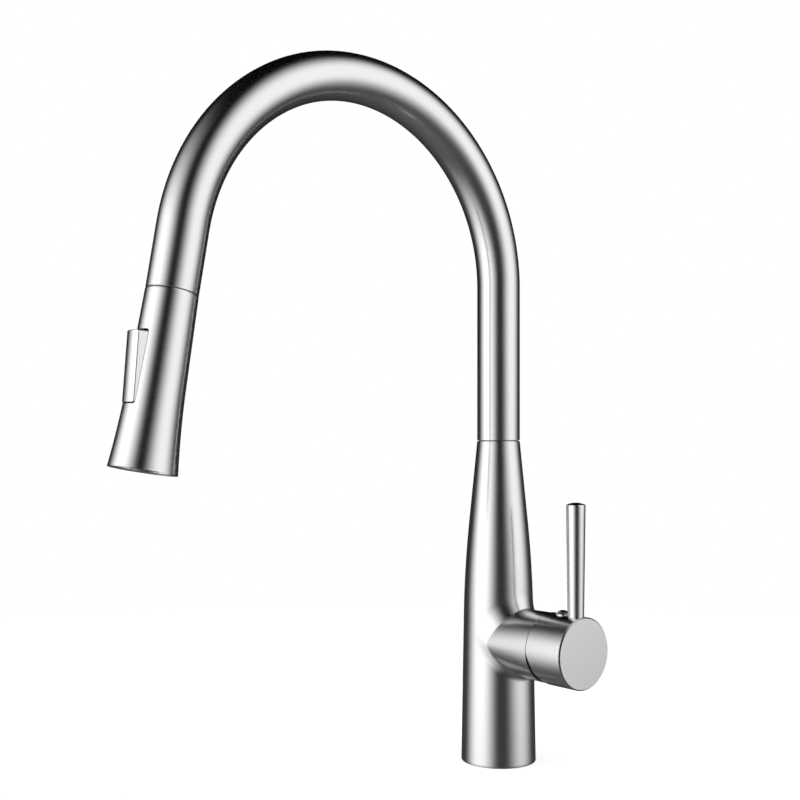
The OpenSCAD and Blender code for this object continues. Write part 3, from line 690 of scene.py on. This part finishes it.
def columnSkin(radiusAt, hubRadius, flared, clear, low, high, rows):
    # the column's surface round the hub's hole, which it rises to meet over the flare's width
    # and ends clear of by that much; also gives where each column of the grid meets the hub
    turn, around, height, reach, hubAt = hubMeeting(radiusAt, hubRadius, flared)
    scale = radiusAt(faucet["handleAxis"])
    curve = np.stack([around * scale, height], axis=1)
    border, at = roundHole(curve, math.pi * scale, low, high, body["across"], body["along"])
    along = np.roll(curve, -1, axis=0) - np.roll(curve, 1, axis=0)
    outward = np.stack([along[:, 1], -along[:, 0]], axis=1) / np.hypot(*along.T)[:, None]
    grid = between(onCurve(curve + clear * outward, at), border, rows, body["rowEase"])
    around, height = grid[..., 0] / scale, grid[..., 1]
    apart, nearest = distanceTo(curve, grid)
    width = flareAt(height, body["flareWidth"]) + drawnIn(turn)[nearest]
    near = np.clip(1 - apart / width, 0, 1)
    radius = radiusAt(height) + flared * flareAt(height, body["flare"]) * near ** 2
    points = np.stack([radius * np.cos(around), radius * np.sin(around), height], axis=-1)
    turnAt = onCurve(np.stack([np.cos(turn), np.sin(turn), reach, hubAt], axis=1), at)
    turnAt[:, :2] /= np.hypot(turnAt[:, 0], turnAt[:, 1])[:, None]
    return points, grid[..., ::-1].copy(), turnAt


def hubPoints(turnAt, radius, x):
    side, up = radius * turnAt[:, 0], faucet["handleAxis"] + radius * turnAt[:, 1]
    return np.stack([x + 0 * side, side, up], axis=1)


def stacked(rows):
    # a patch from its rows, brushed from row to row
    points = np.stack(rows)
    rise = np.linalg.norm(np.diff(points, axis=0), axis=2).mean(axis=1)
    steps = np.linalg.norm(np.diff(points[0], axis=0), axis=1)
    run, around = np.append(0, np.cumsum(rise)), np.append(0, np.cumsum(steps))
    return points, np.stack(np.meshgrid(around, run), axis=2)


seam, hubEnd, hubR = faucet["seamHeight"], faucet["hubEnd"], faucet["hubRadius"]
skirtIn, skirtLow = body["skirt"]
footIn, footUp = body["footEdge"]
topIn, topDown = body["topEdge"]
footTop, topLow = skirtLow + footUp, seam - topDown
neckLow = body["neckHeight"] - body["neckEdge"]
outsideRows, insideRows = body["rows"]
skin, skinFlat, turnAt = columnSkin(bodyRadius, hubR, 1, body["blend"], footTop, topLow,
                                    outsideRows)
inner, innerFlat, innerTurn = columnSkin(cavityRadius, body["hubBore"], 0, 0.0,
                                         body["floorTop"], neckLow, insideRows)

# a small soft blend where the flare meets the hub
crease = hubPoints(turnAt, turnAt[:, 3], turnAt[:, 2])
hubStart = hubPoints(turnAt, turnAt[:, 3], turnAt[:, 2] + body["blend"])
blend = [(1 - t) ** 2 * skin[0] + 2 * t * (1 - t) * crease + t ** 2 * hubStart
         for t in np.linspace(0, 1, 7)]
hub = between(hubStart, hubPoints(turnAt, hubR, hubEnd - body["hubEdge"]), 12)
face = [hub[-1], hubPoints(turnAt, hubR - body["hubEdge"], hubEnd),
        hubPoints(innerTurn, body["hubBore"], hubEnd)]
bore = between(face[-1], inner[0], 6)
buildPiece("bodyCasting", [
    (skin, skinFlat), stacked(blend), stacked(hub), stacked(face), stacked(bore),
    (inner, innerFlat),
    turned([(bodyRadius(topLow), topLow), (faucet["tubeRadius"] - topIn, seam),
            (body["neckRadius"], seam), (body["neckRadius"], body["neckHeight"]),
            (cavityRadius(neckLow), neckLow)], body["across"]),
    turned([(bodyRadius(footTop), footTop), (bodyRadius(footTop) - footIn, skirtLow),
            (skirtIn, skirtLow), (skirtIn, body["footGap"]),
            (body["shankHole"], body["footGap"]), (body["shankHole"], body["floorTop"]),
            (cavityRadius(body["floorTop"]), body["floorTop"])], body["across"]),
], "faucet_body", satinTurned, ["body_shell"])


# Painted shadow ring: a thin black ring on the hub's face stands in for the shade in the gap at the
# knob's joint, so that the joint shows as a dark line

gapShadowRing = {"inner": 20.3, "outer": 21.6, "lift": 0.02, "thickness": 0.12}

near, far = gapShadowRing["lift"], gapShadowRing["lift"] + gapShadowRing["thickness"]
buildPiece("gapShadowRing", [turned([
    (gapShadowRing["inner"], near), (gapShadowRing["inner"], far), (gapShadowRing["outer"], far),
    (gapShadowRing["outer"], near), (gapShadowRing["inner"], near)])],
    "faucet_body", nylon,
    place=Matrix.Translation((hubEnd * mm, 0, faucet["handleAxis"] * mm))
    @ Matrix.Rotation(math.radians(90), 4, "Y"))
print("body casting made")


# Shank: a brass tube with a single-start thread

shank = {"radius": 16.5, "bore": 14.7, "low": -60.0, "threadEnd": -2.0, "top": 10.0,
         "pitch": 2.0, "depth": 0.7, "segments": 96}

low, threadEnd, pitch = shank["low"], shank["threadEnd"], shank["pitch"]
around = np.linspace(0, 2 * np.pi, shank["segments"] + 1)


def shankRing(radius, height):
    return np.stack([radius * np.cos(around), radius * np.sin(around), height + 0 * around], axis=1)


def threadRow(count):
    # roots and crests take turns; the rows are cut off flat at both ends of the thread
    height = np.clip(low + pitch * (count / 2 - 1 + around / (2 * np.pi)), low, threadEnd)
    phase = (height - low) / pitch - around / (2 * np.pi)
    crest = 1 - np.abs(2 * (phase - np.floor(phase)) - 1)
    return shankRing(shank["radius"] - shank["depth"] * (1 - crest), height)


rows = [shankRing(shank["bore"], low)]
rows += [threadRow(k) for k in range(2 * round((threadEnd - low) / pitch) + 3)]
rows += [shankRing(shank["radius"], threadEnd + pitch / 2),
         shankRing(shank["radius"], shank["top"]),
         shankRing(shank["bore"], shank["top"]), shankRing(shank["bore"], low)]
buildPiece("threadedShank", [stacked(rows)], "faucet_body", turnedBrass, ["shank"])
print("shank made")


# Gooseneck: one drawn tube, swept along the spout's path

gooseneck = {"gap": 0.4, "step": 1.6, "segments": 96, "bevel": 0.3}

tubePlaces, tubeDirections, tubeNormals = spoutPath(
    seam + gooseneck["gap"], faucet["tubeEnd"], gooseneck["step"])
tubeAngles = fullTurn(gooseneck["segments"])


def tubeRing(index, radius, along):
    # index is 0 at the foot and -1 at the outlet
    place = tubePlaces[index] + tubeDirections[index] * along
    return alongPath(place[None], tubeNormals[index][None], tubeAngles, radius)[0]


tubeR, boreR, cut = faucet["tubeRadius"], faucet["tubeBore"], gooseneck["bevel"]
outside, inside = [alongPath(tubePlaces[1:-1], tubeNormals[1:-1], tubeAngles, radius)
                   for radius in (tubeR, boreR)]
rows = [tubeRing(0, boreR, 0), tubeRing(0, tubeR - cut, 0), tubeRing(0, tubeR, cut), *outside,
        tubeRing(-1, tubeR, -cut), tubeRing(-1, tubeR - cut, 0), tubeRing(-1, boreR, 0),
        *inside[::-1], tubeRing(0, boreR, 0)]
points, flat = stacked(rows)
flat[..., 0] = np.linspace(0, 2 * np.pi * tubeR, len(tubeAngles))
buildPiece("spoutTube", [(points, flat)], "spout", satinTurned, ["gooseneck_tube"])
print("gooseneck made")


# Spray head: a thin shell that flares in one long curve, with a slot for the button

quarterTurn = np.linspace(0, math.pi / 2, 6)       # for edges that are rounded

head = {
    "neckRadius": 14.05,
    "slope": 0.0226,
    "flareStart": 85.0,
    "rimRadius": 18.2,
    "wall": 1.4,
    "topThickness": 3.2,
    "spigotHole": 8.42,
    "topEdge": 0.4,
    "rimEdge": 0.12,
    "lipEdge": 1.0,
    "slotHalf": 6.8,
    "slotLow": 59.25,
    "slotHigh": 98.4,
    "slotCorner": 1.4,
    "slotEdge": 0.22,
    "unrolledAt": 80.0,          # where the unrolled surface has its true width
    "across": 144,
    "along": 96,
    "rows": (40, 28),            # outside and inside, closer together near the slot
    "rowEase": 1.3,
}


def shellRadius(along):
    # a slow cone, then one arc that starts along it and ends at the rim
    low = head["neckRadius"] + head["slope"] * (along - faucet["headStart"])
    startR = head["neckRadius"] + head["slope"] * (head["flareStart"] - faucet["headStart"])
    run, rise = faucet["headEnd"] - head["flareStart"], head["rimRadius"] - startR
    first = math.atan(head["slope"])
    turn = 2 * (math.atan(rise / run) - first)
    radius = math.hypot(run, rise) / (2 * math.sin(turn / 2))
    centre = (startR + radius * math.cos(first), head["flareStart"] - radius * math.sin(first))
    flare = centre[0] - np.sqrt(radius ** 2 - (along - centre[1]) ** 2)
    return np.where(along < head["flareStart"], low, flare)


def roundedOutline(half, low, high, corner, steps, spacing):
    # closed outline of a rounded rectangle, (across, along), from the middle of one side;
    # steps to each corner, and points this far apart on the sides
    points = []
    middles = ((half - corner, high - corner), (-half + corner, high - corner),
               (-half + corner, low + corner), (half - corner, low + corner))
    for k, (x, y) in enumerate(middles):
        for a in np.linspace(k, k + 1, steps + 1) * math.pi / 2:
            points.append((x + corner * math.cos(a), y + corner * math.sin(a)))
    points = np.array([(half, (low + high) / 2)] + points + [(half, (low + high) / 2)])
    dense = [points[:1]]
    for start, end in zip(points[:-1], points[1:]):
        count = max(1, math.ceil(np.linalg.norm(end - start) / spacing))
        dense.append(start + (end - start) * np.linspace(0, 1, count + 1)[1:, None])
    return np.vstack(dense)[:-1]


def shellPoint(across, along, inset):
    # a point of the shell from its distance across the slot's middle plane
    radius = shellRadius(along) - inset
    return np.stack([across, np.sqrt(radius ** 2 - across ** 2), along], axis=-1)


def slotOutline(grow):
    return roundedOutline(head["slotHalf"] + grow, head["slotLow"] - grow,
                          head["slotHigh"] + grow, head["slotCorner"] + grow, 12, 0.3)


def shellSkin(inset, grow, low, high, rows):
    # the shell's surface round its slot, and where each column of the grid meets the slot
    scale = shellRadius(head["unrolledAt"]) - inset
    curve = slotOutline(grow)
    curve[:, 0] = scale * np.arcsin(curve[:, 0] / (shellRadius(curve[:, 1]) - inset))
    border, at = roundHole(curve, math.pi * scale, low, high, head["across"], head["along"])
    grid = between(onCurve(curve, at), border, rows, head["rowEase"])
    around, along = grid[..., 0] / scale, grid[..., 1]
    radius = shellRadius(along) - inset
    points = np.stack([radius * np.sin(around), radius * np.cos(around), along], axis=-1)
    return (points, np.stack([along, grid[..., 0]], axis=2)), at


headStart, headEnd, wall = faucet["headStart"], faucet["headEnd"], head["wall"]
topEdge, rimEdge, slotEdge = head["topEdge"], head["rimEdge"], head["slotEdge"]
roofLow, lipLow = headStart + head["topThickness"], headEnd - head["lipEdge"]
outsideRows, insideRows = head["rows"]
outer, outerAt = shellSkin(0.0, slotEdge, headStart + topEdge, headEnd - rimEdge, outsideRows)
lining, liningAt = shellSkin(wall, 0.0, roofLow, lipLow, insideRows)
slotRow, liningRow = [onCurve(slotOutline(0.0), at).T for at in (outerAt, liningAt)]
lining[0][0] = shellPoint(*liningRow, wall)
lipIn = shellRadius(lipLow) - wall
rim = [(shellRadius(headEnd - rimEdge), headEnd - rimEdge)]
rim += [(head["rimRadius"] - rimEdge + rimEdge * math.cos(a),
         headEnd - rimEdge + rimEdge * math.sin(a)) for a in quarterTurn[1:]]
rim += [(lipIn + head["lipEdge"], headEnd), (lipIn, lipLow)]      # a wide chamfer inside
buildPiece("sprayShell", [
    outer, stacked([outer[0][0], shellPoint(*slotRow, slotEdge), shellPoint(*slotRow, wall)]),
    lining, turned(rim, head["across"]),
    turned([(shellRadius(headStart + topEdge), headStart + topEdge),
            (head["neckRadius"] - topEdge / 2, headStart), (head["spigotHole"], headStart),
            (head["spigotHole"], roofLow), (shellRadius(roofLow) - wall, roofLow)],
           head["across"]),
], "spray_head", satinTurned, ["spray_shell"], place=outletFrame)
print("spray shell made")


# Button: a rocker with a crowned face, soft edges and a boss round its pin

button = {
    "pinOut": 7.8,
    "pinAlong": 86.0,
    "tilt": 5.5,
    "half": 6.55,
    "faceRadius": 14.2,
    "crown": 9.45,
    "back": -0.5,
    "up": -26.15,          # this and the next along the button, from its pin
    "down": 11.15,
    "corner": 1.2,
    "edge": 0.4,
    "bossRadius": 2.4,
    "bossInset": 0.05,
    "pinHole": 1.25,
}


def buttonRing(inset, drop):
    # the outline moved in by inset, on the crowned face lowered by drop
    outline = roundedOutline(button["half"] - inset, button["up"] + inset, button["down"] - inset,
                             button["corner"] - inset, 8, 1.0)
    outline = np.vstack([outline, outline[:1]])
    return np.stack([outline[:, 0], faceHeight(outline[:, 0]) - drop, outline[:, 1]], axis=1)


def faceHeight(across):
    return button["crown"] - button["faceRadius"] + np.sqrt(button["faceRadius"] ** 2 - across ** 2)


def toSpine(ring, rows, height=None):
    # rows from a ring to the line down the middle, on the crowned face or at one height
    spine = ring.copy()
    spine[:, 0] = 0
    half = button["half"] - button["corner"]
    spine[:, 2] = np.clip(ring[:, 2], button["up"] + half, button["down"] - half)
    made = []
    for t in np.linspace(0, 1, rows + 1)[1:]:
        row = ring + (spine - ring) * t
        row[:, 1] = faceHeight(row[:, 0]) if height is None else height
        made.append(row)
    return made


def cutOrJoin(piece, operation, half, radius):
    # a bar along the pin, joined to the piece or cut from it; its sides aren't brushed
    bar = turned([(nearAxis, -half), (radius, -half), (radius, half), (nearAxis, half)], 48)
    tool = stageObject("pinBar", [bar], None, buttonFrame @ Matrix.Rotation(math.pi / 2, 4, "Y"))
    tool.data.uv_layers.remove(tool.data.uv_layers[0])
    modifier = piece.modifiers.new("pinBar", "BOOLEAN")
    modifier.object, modifier.operation, modifier.solver = tool, operation, "EXACT"
    solved = bpy.data.meshes.new_from_object(
        piece.evaluated_get(bpy.context.evaluated_depsgraph_get()))
    piece.modifiers.clear()
    piece.data = solved
    bpy.data.objects.remove(tool)


buttonFrame = (outletFrame @ Matrix.Translation((0, button["pinOut"] * mm, button["pinAlong"] * mm))
               @ Matrix.Rotation(math.radians(button["tilt"]), 4, "X"))
edge = button["edge"]
rounding = [buttonRing(edge * (1 - math.sin(a)), edge * (1 - math.cos(a))) for a in quarterTurn]
backRing = buttonRing(0, 0)
backRing[:, 1] = button["back"]
grid = np.stack([*toSpine(rounding[0], 12)[::-1], *rounding, backRing,
                 *toSpine(backRing, 6, button["back"])])
press = buildPiece("sprayButton", [(grid, grid[..., [2, 0]])], "button", satinTurned,
                   ["spray_button"], place=buttonFrame)
cutOrJoin(press, "UNION", button["half"] - button["bossInset"], button["bossRadius"])
cutOrJoin(press, "DIFFERENCE", button["half"] + 1, button["pinHole"])
press.data.set_sharp_from_angle(angle=sharpAngle)
print("button made")


# Lever: a rod that widens towards a softly domed tip and sits on the knob's round side

lever = {
    "x": 67.6,
    "rootRadius": 5.05,
    "tipRadius": 5.95,
    "seat": 22.42,               # radius of the knob's side
    "taperLow": 102.3,
    "tipLow": 170.1,
    "top": 171.6,
    "tipEdge": 0.45,
    "tipShare": 0.25,            # of the dome's rise, taken by the rounded edge
    "studHole": 2.52,
    "holeTop": 114.5,
    "segments": 96,
}

leverAngles = fullTurn(lever["segments"])


def leverRing(radius, height):
    # height None: on the knob's side, which is round about the handle's axis
    across = radius * np.sin(leverAngles)
    if height is None:
        height = faucet["handleAxis"] + np.sqrt(lever["seat"] ** 2 - across ** 2)
    return np.stack([lever["x"] + radius * np.cos(leverAngles), across, height + 0 * across],
                    axis=1)


rootR, tipR, tipEdge = lever["rootRadius"], lever["tipRadius"], lever["tipEdge"]
taperLow, taperTop = lever["taperLow"], lever["tipLow"] - tipEdge
edgeRise = lever["tipShare"] * (lever["top"] - lever["tipLow"])
domeLow = lever["tipLow"] + edgeRise
rows = [leverRing(nearAxis, lever["holeTop"]), leverRing(lever["studHole"], lever["holeTop"]),
        leverRing(lever["studHole"], None), leverRing(rootR, None)]
rows += [leverRing(rootR + (tipR - rootR) * t, taperLow + (taperTop - taperLow) * t)
         for t in np.linspace(0, 1, 12)]
rows += [leverRing(tipR - tipEdge * (1 - math.cos(a)),
                   taperTop + (tipEdge + edgeRise) * math.sin(a))
         for a in np.linspace(0, math.pi / 2, 7)[1:]]
rows += [leverRing(max((tipR - tipEdge) * (1 - t), nearAxis),
                   domeLow + (lever["top"] - domeLow) * (1 - (1 - t) ** 2))
         for t in np.linspace(0, 1, 9)[1:]]
buildPiece("leverRod", [stacked(rows)], "handle", satinTurned, ["lever"])
print("lever made")


# Spray hose: up the riser and round the arch; its last stretch is a separate piece on no body

hose = {
    "radius": 5.2,
    "bore": 3.4,
    "low": -84.0,
    "end": 10.0,                 # past the bends
    "split": 20.0,               # before their end
    "blendStart": -12.0,         # along the outlet, from its start
    "blendEnd": 8.0,
    "step": 1.6,
    "segments": 48,
}

hosePlaces, _, hoseNormals = spoutPath(hose["low"], hose["end"], hose["step"])
hoseAngles = fullTurn(hose["segments"])
measured = np.append(0, np.cumsum(np.linalg.norm(np.diff(hosePlaces, axis=0), axis=1)))
splitAt = int(np.searchsorted(measured, measured[-1] - hose["end"] - hose["split"]))


def hoseLength(first, last):
    part = slice(first, last)
    outside, inside = [alongPath(hosePlaces[part], hoseNormals[part], hoseAngles, radius)
                       for radius in (hose["radius"], hose["bore"])]
    return [stacked([inside[0], *outside, *inside[::-1]])]


buildPiece("hoseRun", hoseLength(0, splitAt + 1), "spout", hoseUp, ["spray_hose"])
tail = hoseLength(splitAt, len(hosePlaces))
hoseTail = buildPiece("hoseTail", tail, None, hoseOut, ["spray_hose"])
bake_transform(hoseTail)
print("hose made")


# Aerator screen: wires woven over and under, inside the housing

screen = {"along": 127.1, "radius": 7.5, "pitch": 1.1, "wire": 0.19, "sides": 8, "steps": 80}

wires = []
reach = int(screen["radius"] / screen["pitch"])
wireAngles = fullTurn(screen["sides"])
for k in range(-reach, reach + 1):
    offset = k * screen["pitch"]
    half = math.sqrt(screen["radius"] ** 2 - offset ** 2)
    t = np.linspace(-half, half, screen["steps"] + 1)
    wave = screen["wire"] * np.cos(math.pi * (t / screen["pitch"] + k))
    radii = np.concatenate([[nearAxis], np.full(len(t), screen["wire"]), [nearAxis]])[:, None]
    line = np.concatenate([t[:1], t, t[-1:]])[:, None] + 0 * wireAngles
    lift = np.concatenate([wave[:1], wave, wave[-1:]])[:, None]
    side = offset + radii * np.cos(wireAngles)
    for sign in (1, -1):       # one wire along X, and one that crosses it along Y
        up = screen["along"] + sign * lift + radii * np.sin(wireAngles)
        wires.append(stacked(np.stack([line, side, up] if sign > 0 else [side, line, up],
                                      axis=2)))
buildPiece("aeratorScreen", wires, "spray_head", zincPlated,
           ["aerator_screens"], place=outletFrame)
print("aerator screen made")
